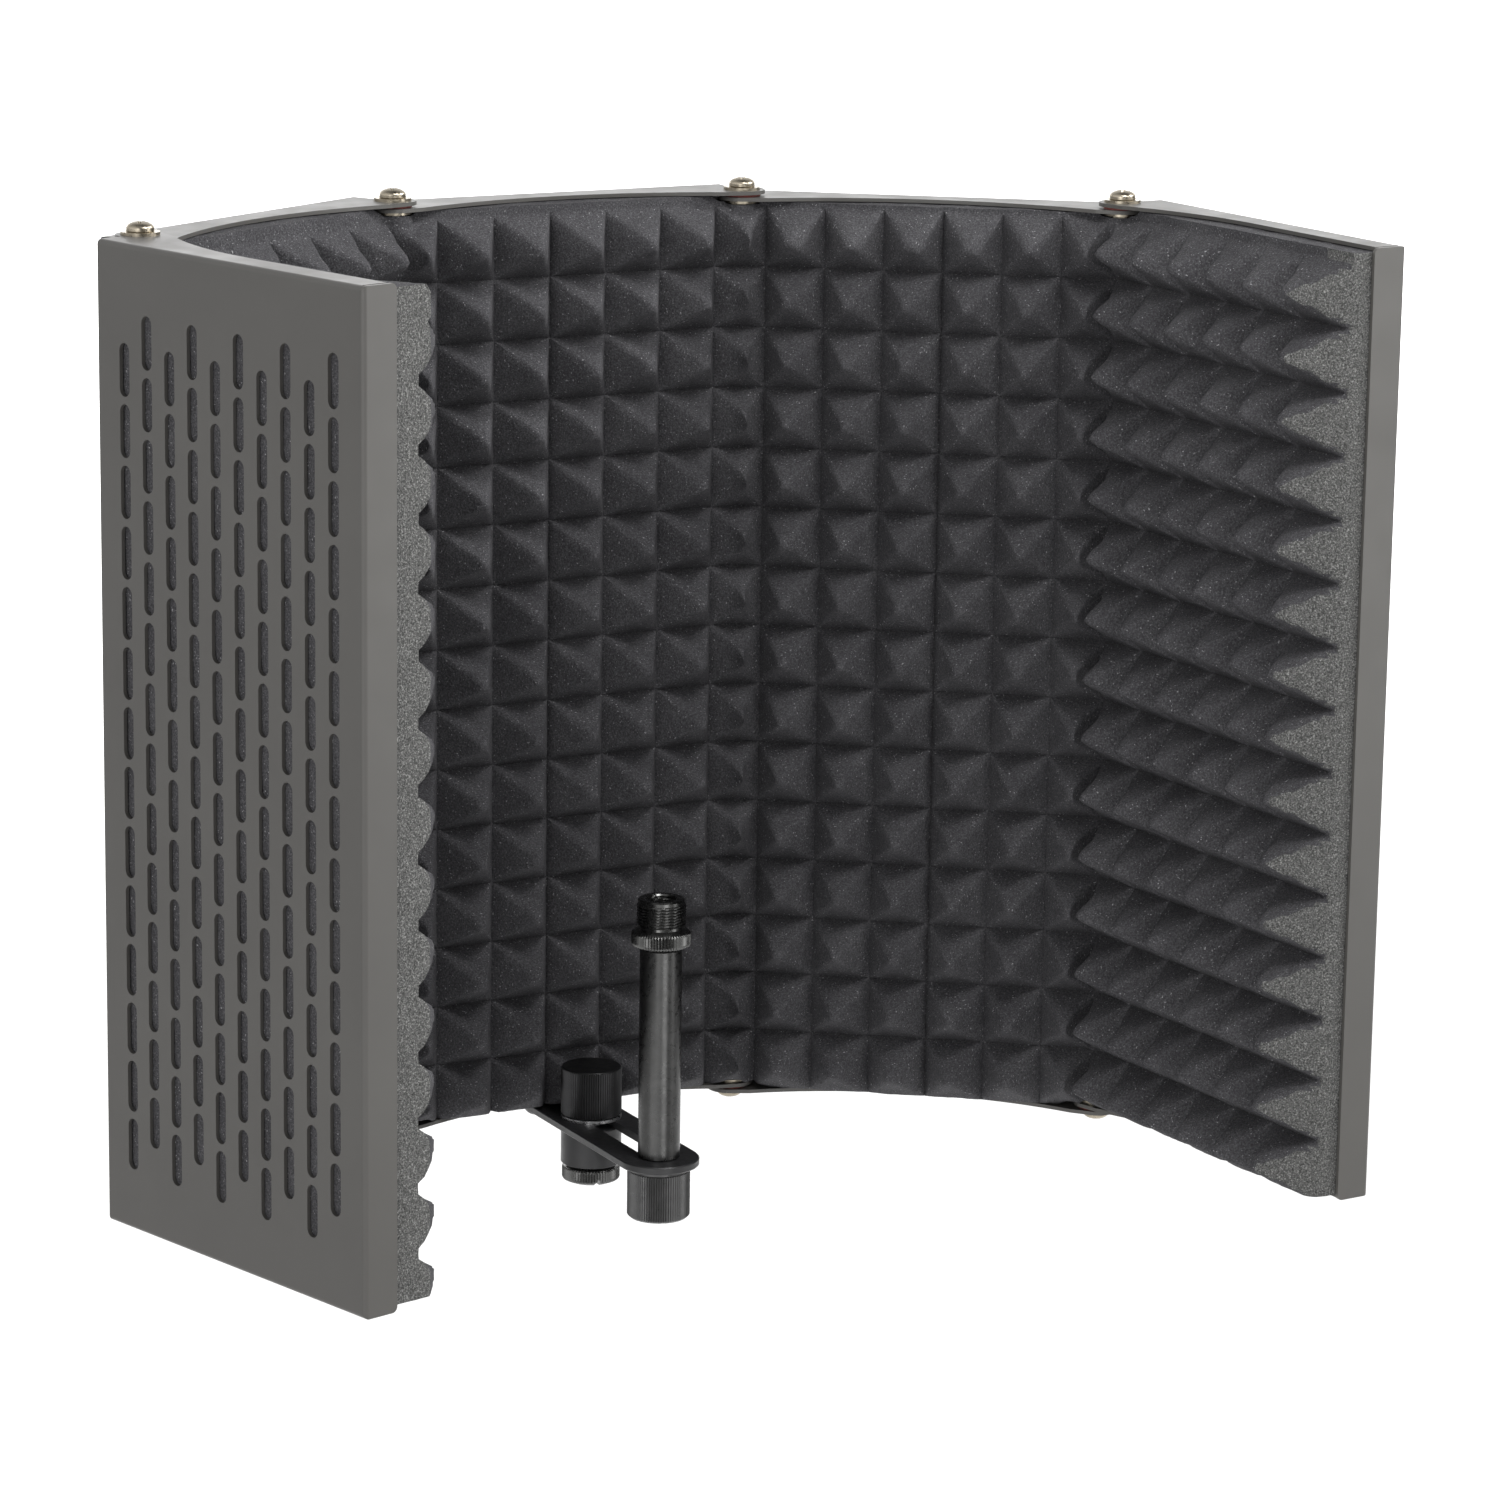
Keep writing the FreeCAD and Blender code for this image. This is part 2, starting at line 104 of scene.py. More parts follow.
CUT_RISE = 4.4              # and how much more it left in a pyramid's middle
SHARP_FOAM = 62             # degrees between faces that stay sharp
POCKET_RADIUS = 6.3         # room for a hinge nut in the lining
NUT_POCKET = 8.0
WASHER_RADIUS = 6.9
BRACKET_NUT_SPOTS = (-7.0, 7.0)
BRACKET_NUT_Y = 26.6
BRACKET_NUT_RADIUS = 5.2
BRACKET_NUT_TOP = 28.2
KNOB_RADIUS = 10.5
KNOB_TOP = 17.6             # above the panels' base
KNOB_ROUNDING = 7.0


# ---------------------------------------------------------------- mesh helpers
def make_object(name, points, faces, smooth=True):
    mesh = bpy.data.meshes.new(name)
    mesh.from_pydata([tuple(p) for p in points], [], [tuple(f) for f in faces])
    mesh.validate()
    mesh.update()
    piece = bpy.data.objects.new(name, mesh)
    bpy.context.scene.collection.objects.link(piece)
    if smooth:
        mesh.shade_smooth()
    return piece


HASH_PRIMES = (73856093, 19349663, 83492791, 2654435761)


def smooth_noise(points, size, seed):
    """Value noise on a lattice of the given cell size, -1 to 1, for an array of points."""
    p0, p1, p2, p3 = HASH_PRIMES
    grid = points / size
    low = np.floor(grid).astype(np.int64)
    part = grid - low
    part = part * part * (3 - 2 * part)
    total = np.zeros(len(points))
    for corner in range(8):
        step = np.array([corner & 1, corner >> 1 & 1, corner >> 2 & 1])
        key = low + step
        mixed = key[:, 0] * p0 ^ key[:, 1] * p1 ^ key[:, 2] * p2 ^ seed * p3
        mixed = (mixed ^ (mixed >> 13)) * 1274126177 & 0x7FFFFFFF
        value = mixed / 0x3FFFFFFF - 1
        weight = np.prod(np.where(step, part, 1 - part), axis=1)
        total += value * weight
    return total


# ---------------------------------------------------------------- the foam lining
def path_at(station):
    """Point on the hinge line, rounded at the hinges, and the inward normal, for each station."""
    station = np.asarray(station, float)
    spot = np.zeros((len(station), 2))
    inward = np.zeros((len(station), 2))
    for i, start in enumerate(CORNERS[:-1]):
        chosen = (station >= STATIONS[i] - 1e-6) if i else np.ones(len(station), bool)
        direction = ALONG[i]
        spot[chosen] = start + (station[chosen, None] - STATIONS[i]) * direction
        inward[chosen] = (direction[1], -direction[0])
    for i in range(1, len(CORNERS) - 1):
        before, after = ALONG[i - 1], ALONG[i]
        turn = math.acos(float(before @ after))
        tangent = FOAM_BEND * math.tan(turn / 2)
        near = np.abs(station - STATIONS[i]) < tangent
        centre = CORNERS[i] - tangent * before + FOAM_BEND * np.array([before[1], -before[0]])
        angle = ((station[near] - STATIONS[i]) / tangent + 1) / 2 * turn
        outward = np.array([-before[1], before[0]])
        c, s = np.cos(-angle)[:, None], np.sin(-angle)[:, None]
        turned = np.hstack([outward[0] * c - outward[1] * s, outward[0] * s + outward[1] * c])
        spot[near] = centre + FOAM_BEND * turned
        inward[near] = -turned
    return spot, inward


def cell_at_station():
    """Matching lists of stations and pyramid counts along the lining."""
    s1, s2, s3, s4 = STATIONS[1:5]
    stations = [
        0.0, s1 - 10.9, s1 + 1.0, s2 - 5.0, s2 + 112.7, s3 + 8.4, s4 + 0.5, s4 + 117.0, s4 + END_PANEL,
    ]
    cells = [LINING_START, -7.0, -6.0, 0.0, 6.0, 7.0, 13.0, 19.0, 19.38]
    return stations, cells


def pyramid_height(cell, z):
    """Height of the pyramid field above its valleys."""
    u = cell - np.floor(cell)
    row = (z - FIRST_VALLEY) / ROW_PITCH
    v = 1 - (row - np.floor(row))
    slanted = cell > LAST_TIP
    u = np.where(slanted, 1 - (SLANT_END - cell) * 0.5 / (SLANT_END - LAST_TIP), u)
    flanks = np.stack([np.where(slanted, 0.5, u), 1 - u, v, 1 - v]) * (PYRAMID - 0.7) / FLANK
    dome = PYRAMID - 90 * ((u - 0.5) ** 2 + (v - 0.5) ** 2)
    terms = np.exp(-flanks / RIDGE_ROUNDING).sum(0) + np.exp(-np.maximum(dome, 8) / RIDGE_ROUNDING)
    soft = -np.log(terms) * RIDGE_ROUNDING
    height = 0.5 * (soft + np.sqrt(soft ** 2 + 0.5)) - 0.3
    height = np.where(row > 14, 0, height)
    return np.where(cell > SLANT_END, -12 * (cell - SLANT_END) / 0.1, height)


def cut_edge_cap(distance, z):
    """Limit on the height near the first panel's cut edge, where the knife dragged the foam."""
    row = (z - FIRST_VALLEY) / ROW_PITCH
    v = row - np.floor(row)
    profile = CUT_LOW + CUT_RISE * np.clip(np.minimum(v, 1 - v) / 0.31, 0, 1)
    return np.where(row > 13.5, CUT_LOW + CUT_RISE, profile) + 1.1 * distance


def panel_levels(station):
    """Lower and upper limit of the lining, clear of the hinge lugs."""
    low = np.full(len(station), LEVELS[0])
    high = np.full(len(station), LEVELS[0])
    for i in range(1, 5):
        here = np.clip((station - (STATIONS[i] - 12)) / 3, 0, 1)
        away = np.clip((station - (STATIONS[i] + 9)) / 3, 0, 1)
        top, base = max(LEVELS[i - 1:i + 1]), min(LEVELS[i - 1:i + 1])
        low = low + here * (top - LEVELS[i - 1]) + away * (LEVELS[i] - top)
        high = high + here * (base - LEVELS[i - 1]) + away * (LEVELS[i] - base)
    return low, high


def foam_piece(name, first_cell, last_cell, nodes):
    stations, cells = cell_at_station()
    count = math.ceil(first_cell * CELLS_ACROSS - 1e-6), math.floor(last_cell * CELLS_ACROSS + 1e-6)
    columns = np.arange(count[0], count[1] + 1) / CELLS_ACROSS
    if columns[0] - first_cell > 0.01:
        columns = np.concatenate([[first_cell], columns])
    if last_cell - columns[-1] > 0.01:
        columns = np.concatenate([columns, [last_cell]])
    station = np.interp(columns, cells, stations)
    spot, inward = path_at(station)
    low, high = panel_levels(station)
    z_bottom, z_top = low + LID_GAP, PANEL_HEIGHT + high - LID_GAP
    step = ROW_PITCH / CELLS_DOWN
    first_row = FIRST_VALLEY - ROW_PITCH + step * 5
    middle = first_row + step * np.arange(int((LAST_ROW - first_row) / step) + 1)
    columns_n = len(columns)
    low_rows = z_bottom[:, None] + (middle[0] - z_bottom[:, None]) * np.arange(4) / 4
    high_rows = middle[-1] + (z_top[:, None] - middle[-1]) * np.arange(1, 4) / 3
    z = np.hstack([low_rows, np.tile(middle, (columns_n, 1)), high_rows])
    rows_n = z.shape[1]
    cell_grid = np.repeat(columns[:, None], rows_n, 1)
    height = pyramid_height(cell_grid, z)
    if first_cell < cells[1]:
        distance = (station - station[0])[:, None]
        row = (z - FIRST_VALLEY) / ROW_PITCH
        top_bulge = CUT_RISE * np.clip((row - 13.6) / 0.3, 0, 1) * np.clip((14.6 - row) / 0.35, 0, 1)
        height = np.maximum(height, CUT_LOW + top_bulge - 0.45 * distance)
        height = np.minimum(height, cut_edge_cap(distance, z))

    # a closed block: its six faces are grids on one lattice
    share = np.arange(LAYERS + 1) / LAYERS
    offset = FOAM_BACK + share * (FOAM_VALLEY - FOAM_BACK + height[:, :, None])
    points = np.zeros((columns_n, rows_n, LAYERS + 1, 3))
    points[..., :2] = spot[:, None, None, :] + offset[..., None] * inward[:, None, None, :]
    points[..., 2] = z[:, :, None] + PANEL_BASE
    clear_hinges(points)
    clear_bracket_nuts(points)
    clear_clamp_knob(points)
    roughen(points)

    lattice = np.zeros((columns_n, rows_n, LAYERS + 1), bool)
    lattice[0], lattice[-1], lattice[:, 0], lattice[:, -1] = True, True, True, True
    lattice[:, :, 0], lattice[:, :, -1] = True, True
    index = np.full(lattice.shape, -1)
    index[lattice] = np.arange(lattice.sum())
    faces = []
    faces += grid_faces(index[:, :, 0], True)
    faces += front_faces(index[:, :, -1], columns, z)
    faces += grid_faces(index[:, 0, :], False)
    faces += grid_faces(index[:, -1, :], True)
    end_faces = len(faces)
    faces += grid_faces(index[0], True)
    faces += grid_faces(index[-1], False)
    foam = make_object(name, points[lattice] * MM, faces)
    smooth_by_angle(foam, SHARP_FOAM)
    cut = [i >= end_faces for i in range(len(faces))]
    mark_cut_faces(foam, cut, points[lattice], index[columns > LAST_TIP + 0.04, :, -1])
    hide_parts(*nodes)
    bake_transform(foam)
    return foam


def mark_cut_faces(foam, cut, points, slant_index):
    """Gives the knife-cut faces, at the ends and on the slant, the second material."""
    slant = set(slant_index.ravel().tolist())
    for polygon in foam.data.polygons:
        on_slant = all(v in slant for v in polygon.vertices) and abs(polygon.normal.z) < 0.5
        if cut[polygon.index] or on_slant:
            polygon.material_index = 1


def grid_faces(index, flip):
    a, b = index[:-1, :-1].ravel(), index[1:, :-1].ravel()
    c, d = index[1:, 1:].ravel(), index[:-1, 1:].ravel()
    quads = np.stack([a, d, c, b] if flip else [a, b, c, d], 1)
    return quads.tolist()


def front_faces(index, columns, z):
    """Triangles whose shared edges run along the pyramids' ridges."""
    u = (columns[:-1] + columns[1:]) / 2
    left = (u - np.floor(u)) < 0.5
    middle = (z[:-1, :-1] + z[1:, 1:]) / 2
    row = (middle - FIRST_VALLEY) / ROW_PITCH
    upper = (row - np.floor(row)) > 0.5
    rising = left[:, None] != upper
    a, b = index[:-1, :-1], index[1:, :-1]
    c, d = index[1:, 1:], index[:-1, 1:]
    first = np.where(rising[..., None], np.stack([a, b, c], -1), np.stack([a, b, d], -1))
    second = np.where(rising[..., None], np.stack([a, c, d], -1), np.stack([b, c, d], -1))
    return first.reshape(-1, 3).tolist() + second.reshape(-1, 3).tolist()


def clear_hinges(points):
    """Pockets for the hinge nuts and washers, with the foam's face bulged round them."""
    last_layer = np.zeros(points.shape[:3], bool)
    last_layer[:, :, -1] = True
    for hinge in range(1, 5):
        foot = PANEL_BASE + min(LEVELS[hinge - 1:hinge + 1])
        top = foot + PANEL_HEIGHT
        plan = points[..., :2] - CORNERS[hinge]
        away = np.hypot(plan[..., 0], plan[..., 1])
        z = points[..., 2]
        by_nut = (z > top - NUT_POCKET - 3) | (z < foot + NUT_POCKET + 5)
        bulged = last_layer & by_nut & (away < POCKET_RADIUS)
        points[bulged, :2] = CORNERS[hinge] + plan[bulged] * (POCKET_RADIUS / away[bulged])[:, None]
        pocket = ~last_layer & (away < POCKET_RADIUS)
        z[pocket] = np.clip(z[pocket], foot + NUT_POCKET + 2, top - NUT_POCKET)
        washer = away < WASHER_RADIUS
        z[washer] = np.clip(z[washer], foot + 4.5, top - 2.4)


def clear_bracket_nuts(points):
    """Room for the nuts of the bracket screws under the lining."""
    x, y, z = points[..., 0], points[..., 1], points[..., 2]
    for side in BRACKET_NUT_SPOTS:
        near = np.hypot(x - side, y - BRACKET_NUT_Y) < BRACKET_NUT_RADIUS
        z[near & (z < BRACKET_NUT_TOP)] = BRACKET_NUT_TOP


def clear_clamp_knob(points):
    """The foam is dented round the clamp knob, which stands against it."""
    x, y, z = points[..., 0], points[..., 1], points[..., 2]
    top = PANEL_BASE + KNOB_TOP
    rise = np.clip((z - top) / KNOB_ROUNDING, 0, 1)
    radius = KNOB_RADIUS * np.sqrt(1 - rise ** 2)
    depth = np.sqrt(np.maximum(radius ** 2 - x ** 2, 0))
    inside = (np.abs(x) < radius) & (y < depth) & (y > -40)
    y[inside] = depth[inside]


def roughen(points):
    """Slight irregularity all over the lining."""
    flat = points.reshape(-1, 3)
    wobble = np.stack([smooth_noise(flat, 6.0, SEED + i) for i in range(3)], 1) * 0.16
    grain = np.stack([smooth_noise(flat, 1.4, SEED + 5 + i) for i in range(3)], 1) * 0.10
    points += (wobble + grain).reshape(points.shape)


# ---------------------------------------------------------------- turned and threaded pieces
HEAD_RADIUS = 4.2
SCREW_SIDES = 96
ADAPTER_SIDES = 240
SERRATIONS = 60
MALE_PITCH = 0.941
BORE_PITCH = 1.5875
NOTCH_DEPTH = 2.1
UPPER_SEAT = 2.9            # of the upper screw's head, above the lower panel's top
UPPER_SHANK = 10.1
LOWER_SHANK = 9.2


def lathe(name, profile, segments, shape, centre):
    """Closed loop of (radius, height) rows turned round the vertical axis, bent by shape()."""
    rows = np.array(profile, float)
    angle = np.arange(segments) / segments * 2 * math.pi
    radius, height = shape(rows[:, None, 0] + 0 * angle, rows[:, None, 1] + 0 * angle, angle[None, :])
    points = np.stack([
        centre[0] + radius * np.cos(angle), centre[1] + radius * np.sin(angle), centre[2] + height
    ], -1)
    n = len(rows)
    index = np.arange(n * segments).reshape(n, segments)
    index = np.vstack([index, index[:1]])
    index = np.hstack([index, index[:, :1]])
    faces = grid_faces(index, True)
    return make_object(name, points.reshape(-1, 3) * MM, faces)


def stretch(start, end, step):
    """Rows between two profile points, no further apart than step."""
    (r0, z0), (r1, z1) = start, end
    count = max(1, math.ceil(math.hypot(r1 - r0, z1 - z0) / step))
    return [(r0 + (r1 - r0) * i / count, z0 + (z1 - z0) * i / count) for i in range(count)]


def through(corners, steps):
    rows = []
    for i, step in enumerate(steps):
        rows += stretch(corners[i], corners[(i + 1) % len(corners)], step)
    return rows


def thread_wave(phase, crest=0.18):
    """0 at a crest, 1 at a root, for a sharp thread with small flats."""
    ramp = np.abs((phase - np.floor(phase)) * 2 - 1)
    return np.clip((ramp - crest) / (1 - 2 * crest), 0, 1)


def thread_adapter(name, centre, notch_angle, body, node):
    neck, top = 7.3, 16.1
    corners = [
        (4.2, 0.0), (6.7, 0.0), (8.4, 0.7), (9.2, 1.0), (9.5, 1.6), (9.5, 4.9), (9.0, 5.4),
        (7.2, 6.6), (7.0, neck), (7.9, neck + 0.5), (7.9, 14.4), (7.5, 14.7), (7.5, 15.7),
        (7.0, top), (5.0, top), (4.6, top - 0.5), (4.2, top - 1.0),
    ]
    steps = [2, 1, 1, 1, 0.5, 1, 2, 2, 1, 0.12, 1, 1, 1, 2, 1, 1, 0.2]

    def shape(radius, height, angle):
        serrated = (radius > 8.8) & (height > 0.9) & (height < 5.2)
        wave = np.abs(np.mod(angle / (2 * math.pi) * SERRATIONS, 1) * 2 - 1)
        radius = radius - np.where(serrated, 0.42 * wave, 0)
        male = (radius > 7.6) & (height > neck + 0.4) & (height < 14.6)
        radius = radius - np.where(male, 0.56 * thread_wave(height / MALE_PITCH - angle / (2 * math.pi)), 0)
        bore = radius < 4.25
        fine = thread_wave(height / BORE_PITCH - angle / (2 * math.pi))
        radius = radius + np.where(bore, 0.75 * (1 - fine), 0)
        turn = np.mod(angle - math.radians(notch_angle) + math.pi, 2 * math.pi) - math.pi
        lift = np.clip(NOTCH_DEPTH - np.abs(turn) * 9.5 * 1.7, 0, None)
        cut = (radius > 5) & (height < 3.5)
        height = np.where(cut, lift + height * (3.5 - lift) / 3.5, height)
        return radius, height

    piece = lathe(name, through(corners, steps), ADAPTER_SIDES, shape, centre)
    smooth_by_angle(piece, 38)
    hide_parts(node)
    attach(piece, body)
    return piece


def screw_rows(length):
    """Profile of a pan head screw from the middle of its crown to the end of its shank."""
    turns = np.linspace(0, math.pi / 2, 26)
    crown = [(HEAD_RADIUS * math.sin(t), 1 + 2 * math.cos(t)) for t in turns]
    return crown + [
        (HEAD_RADIUS, 0.25), (HEAD_RADIUS - 0.2, 0.02), (2.0, 0.02), (2.0, -length + 0.3), (1.7, -length),
        (0.0, -length),
    ]


def cross_recess(radius, height, angle):
    """The cross cut into the crown, deepest in the middle."""
    x, y = np.abs(radius * np.cos(angle + 0.5)), np.abs(radius * np.sin(angle + 0.5))
    outside = np.minimum(np.maximum(x - 0.5, y - 2.3), np.maximum(y - 0.5, x - 2.3))
    sunk = np.clip(-outside / 0.2, 0, 1) * (1.9 - 0.45 * radius)
    return radius, np.where(height > 1, height - sunk, height)


def hinge_screws(node, hinges, body):
    """The screws at the top and bottom of the listed hinges, in one mesh."""
    places = []
    for hinge in hinges:
        foot = PANEL_BASE + min(LEVELS[hinge - 1:hinge + 1])
        places.append((*CORNERS[hinge], foot + PANEL_HEIGHT + UPPER_SEAT, 1, UPPER_SHANK))
        places.append((*CORNERS[hinge], foot, -1, LOWER_SHANK))
    points, faces = [], []
    for x, y, seat, way_up, length in places:
        rows = np.array(screw_rows(length))
        angle = np.arange(SCREW_SIDES) / SCREW_SIDES * 2 * math.pi
        radius, height = rows[:, None, 0] + 0 * angle, rows[:, None, 1] + 0 * angle
        radius, height = cross_recess(radius, height, angle[None, :])
        ring = np.stack([
            x + radius * np.cos(angle), y + way_up * radius * np.sin(angle), seat + way_up * height
        ], -1)
        start = len(points)
        points += [ring[0].mean(0), ring[-1].mean(0)] + ring[1:-1].reshape(-1, 3).tolist()
        index = start + 2 + np.arange((len(rows) - 2) * SCREW_SIDES).reshape(-1, SCREW_SIDES)
        index = np.hstack([index, index[:, :1]])
        faces += grid_faces(index, True)
        faces += [(start, a, b) for a, b in zip(index[0, :-1], index[0, 1:])]
        faces += [(start + 1, b, a) for a, b in zip(index[-1, :-1], index[-1, 1:])]
    piece = make_object(node + "_turned", np.array(points) * MM, faces)
    smooth_by_angle(piece, 35)
    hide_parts(node)
    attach(piece, body)
    return piece


def smooth_by_angle(piece, degrees):
    piece.data.set_sharp_from_angle(angle=math.radians(degrees))


# ---------------------------------------------------------------- materials
class Nodes:
    """A node tree with a principled shader, and short calls to add to it."""

    def __init__(self, name, base, rough, metal=0.0):
        self.material = bpy.data.materials.new(name)
        self.material.use_nodes = True
        self.tree = self.material.node_tree
        self.shader = self.tree.nodes["Principled BSDF"]
        self.shader.inputs["Base Color"].default_value = (*base, 1)
        self.shader.inputs["Roughness"].default_value = rough
        self.shader.inputs["Metallic"].default_value = metal
        self.place = self.add("ShaderNodeTexCoord").outputs["Object"]

    def add(self, kind, **settings):
        node = self.tree.nodes.new(kind)
        for key, value in settings.items():
            setattr(node, key, value)
        return node

    def link(self, a, b):
        self.tree.links.new(a, b)

    def noise(self, scale, detail=3.0, rough=0.55):
        node = self.add("ShaderNodeTexNoise")
        node.inputs["Scale"].default_value = scale
        node.inputs["Detail"].default_value = detail
        node.inputs["Roughness"].default_value = rough
        self.link(self.place, node.inputs["Vector"])
        return node.outputs["Fac"]

    def remap(self, value, low, high, to_low, to_high):
        node = self.add("ShaderNodeMapRange")
        for key, number in zip(("From Min", "From Max", "To Min", "To Max"), (low, high, to_low, to_high)):
            node.inputs[key].default_value = number
        self.link(value, node.inputs["Value"])
        return node.outputs["Result"]

    def ramp(self, value, stops):
        node = self.add("ShaderNodeValToRGB")
        elements = node.color_ramp.elements
        while len(elements) < len(stops):
            elements.new(0.5)
        for element, (spot, colour) in zip(elements, stops):
            element.position = spot
            element.color = (*colour, 1)
        self.link(value, node.inputs["Fac"])
        return node.outputs["Color"]

    def combine(self, a, b, mode):
        node = self.add("ShaderNodeMix", data_type="RGBA", blend_type=mode)
        node.inputs["Factor"].default_value = 1.0
        self.link(a, node.inputs[6])
        self.link(b, node.inputs[7])
        return node.outputs[2]

    def bump(self, height, distance, strength):
        node = self.add("ShaderNodeBump")
        node.inputs["Distance"].default_value = distance
        node.inputs["Strength"].default_value = strength
        self.link(height, node.inputs["Height"])
        return node.outputs["Normal"]

    def colour(self, output):
        self.link(output, self.shader.inputs["Base Color"])

    def roughness(self, output):
        self.link(output, self.shader.inputs["Roughness"])

    def normal(self, output):
        self.link(output, self.shader.inputs["Normal"])


def foam_material():
    m = Nodes("acoustic_foam", (0.05, 0.05, 0.052), 0.95)
    broad = m.noise(45, 3)
    cells = m.noise(1700, 2, 0.7)
    pores = m.noise(1500, 1, 0.5)
    body = m.ramp(broad, [(0.3, (0.049, 0.048, 0.051)), (0.7, (0.066, 0.065, 0.068))])
    grain = m.ramp(cells, [(0.32, (0.55, 0.55, 0.56)), (0.5, (0.9, 0.9, 0.92)), (0.68, (1.5, 1.5, 1.5))])
    speckled = m.combine(body, grain, "MULTIPLY")
    glints = m.ramp(pores, [(0.68, (0, 0, 0)), (0.77, (0.22, 0.22, 0.225))])
    m.colour(m.combine(speckled, glints, "ADD"))
    m.normal(m.bump(cells, 0.0005, 0.8))
    m.shader.inputs["Specular IOR Level"].default_value = 0.2
    return m.material


def cut_foam_material():
    m = Nodes("acoustic_foam_cut", (0.1, 0.1, 0.1), 0.95)
    cells = m.noise(1900, 2, 0.7)
    m.colour(m.ramp(cells, [
        (0.30, (0.026, 0.026, 0.026)), (0.46, (0.072, 0.072, 0.070)), (0.58, (0.125, 0.125, 0.122)),
        (0.72, (0.29, 0.29, 0.28)),
    ]))
    m.normal(m.bump(cells, 0.0006, 0.8))
    m.shader.inputs["Specular IOR Level"].default_value = 0.2
    return m.material


def panel_paint():
    m = Nodes("panel_powder_coat", (0.10, 0.093, 0.087), 0.42)
    cloud = m.noise(14, 4)
    m.colour(m.ramp(cloud, [(0.3, (0.062, 0.059, 0.055)), (0.7, (0.072, 0.069, 0.064))]))
    m.roughness(m.remap(m.noise(90, 3), 0.3, 0.7, 0.37, 0.45))
    m.normal(m.bump(m.noise(1900, 2), 0.00001, 0.35))
    m.shader.inputs["Specular IOR Level"].default_value = 0.55
    return m.material


def black_metal(name, base, rough, grain_scale, grain_depth, metal=0.0):
    m = Nodes(name, base, rough, metal)
    light = tuple(1.3 * c for c in base)
    m.colour(m.ramp(m.noise(220, 4), [(0.3, base), (0.75, light)]))
    m.roughness(m.remap(m.noise(500, 3), 0.3, 0.7, rough - 0.06, rough + 0.06))
    m.normal(m.bump(m.noise(grain_scale, 2), grain_depth, 0.4))
    return m.material


def bare_metal(name, base, rough):
    m = Nodes(name, base, rough, 1.0)
    dark = tuple(0.8 * c for c in base)
    m.colour(m.ramp(m.noise(350, 4), [(0.3, dark), (0.65, base)]))
    m.roughness(m.remap(m.noise(900, 4, 0.6), 0.3, 0.7, rough - 0.07, rough + 0.09))
    m.normal(m.bump(m.noise(1400, 2, 0.6), 0.000002, 0.3))
    return m.material


def fibre_material():
    m = Nodes("vulcanised_fibre", (0.20, 0.035, 0.03), 0.6)
    m.colour(m.ramp(m.noise(900, 4), [(0.3, (0.15, 0.025, 0.02)), (0.7, (0.25, 0.05, 0.04))]))
    m.normal(m.bump(m.noise(2500, 2), 0.00005, 0.4))
    return m.material


def dress(piece, material):
    piece.data.materials.clear()
    piece.data.materials.append(material)


# ---------------------------------------------------------------- camera, light and floor
CAMERA_SPOT = (-758.6, -1540.3, 538.8)
CAMERA_TURNS = (-27.90, 12.905, 0.822)      # yaw, pitch and roll in degrees
LENS = 130.92
SHIELD_MIDDLE = (0, 0, 0.17)                # metres, what the soft boxes aim at
FLOOR_LEVEL = -0.6


def place_camera():
    spot = Vector(CAMERA_SPOT) * MM
    yaw, pitch, roll = (math.radians(turn) for turn in CAMERA_TURNS)
    forward = Vector((-math.sin(yaw) * math.cos(pitch), math.cos(yaw) * math.cos(pitch), -math.sin(pitch)))
    level = forward.cross(Vector((0, 0, 1))).normalized()
    upright = level.cross(forward)
    right = level * math.cos(roll) + upright * math.sin(roll)
    up = upright * math.cos(roll) - level * math.sin(roll)
    data = bpy.data.cameras.new("camera")
    data.lens = LENS
    data.sensor_width = 36
    data.clip_start = 0.05
    data.clip_end = 30
    camera = bpy.data.objects.new("camera", data)
    axes = Matrix((right, up, -forward)).transposed().to_4x4()
    camera.matrix_world = Matrix.Translation(spot) @ axes
    bpy.context.scene.collection.objects.link(camera)
    bpy.context.scene.camera = camera


def area_light(name, spot, target, size, power):
    data = bpy.data.lights.new(name, "AREA")
    data.shape = "RECTANGLE"
    data.size, data.size_y = size
    data.energy = power
    lamp = bpy.data.objects.new(name, data)
    lamp.location = spot
    lamp.rotation_euler = (Vector(target) - Vector(spot)).to_track_quat("-Z", "Y").to_euler()
    bpy.context.scene.collection.objects.link(lamp)


def soft_box(name, turn, rise, distance, size, power):
    """A square light aimed at the shield; turn is counted from straight ahead towards the left."""
    turn, rise = math.radians(turn), math.radians(rise)
    away = Vector((-math.sin(turn) * math.cos(rise), -math.cos(turn) * math.cos(rise), math.sin(rise)))
    middle = Vector(SHIELD_MIDDLE)
    area_light(name, middle + distance * away, middle, (size, size), power)


def sky_share(tree, value, full_at, strength, start=0.0, base=0.0):
    """Brightness rising from base at start to strength at full_at."""
    node = tree.nodes.new("ShaderNodeMapRange")
    for key, number in zip(("From Min", "From Max", "To Min", "To Max"), (start, full_at, base, strength)):
        node.inputs[key].default_value = number
    tree.links.new(value, node.inputs["Value"])
    return node.outputs["Result"]


def add_up(tree, a, b):
    node = tree.nodes.new("ShaderNodeMath")
    node.operation = "ADD"
    tree.links.new(a, node.inputs[0])
    tree.links.new(b, node.inputs[1])
    return node.outputs[0]


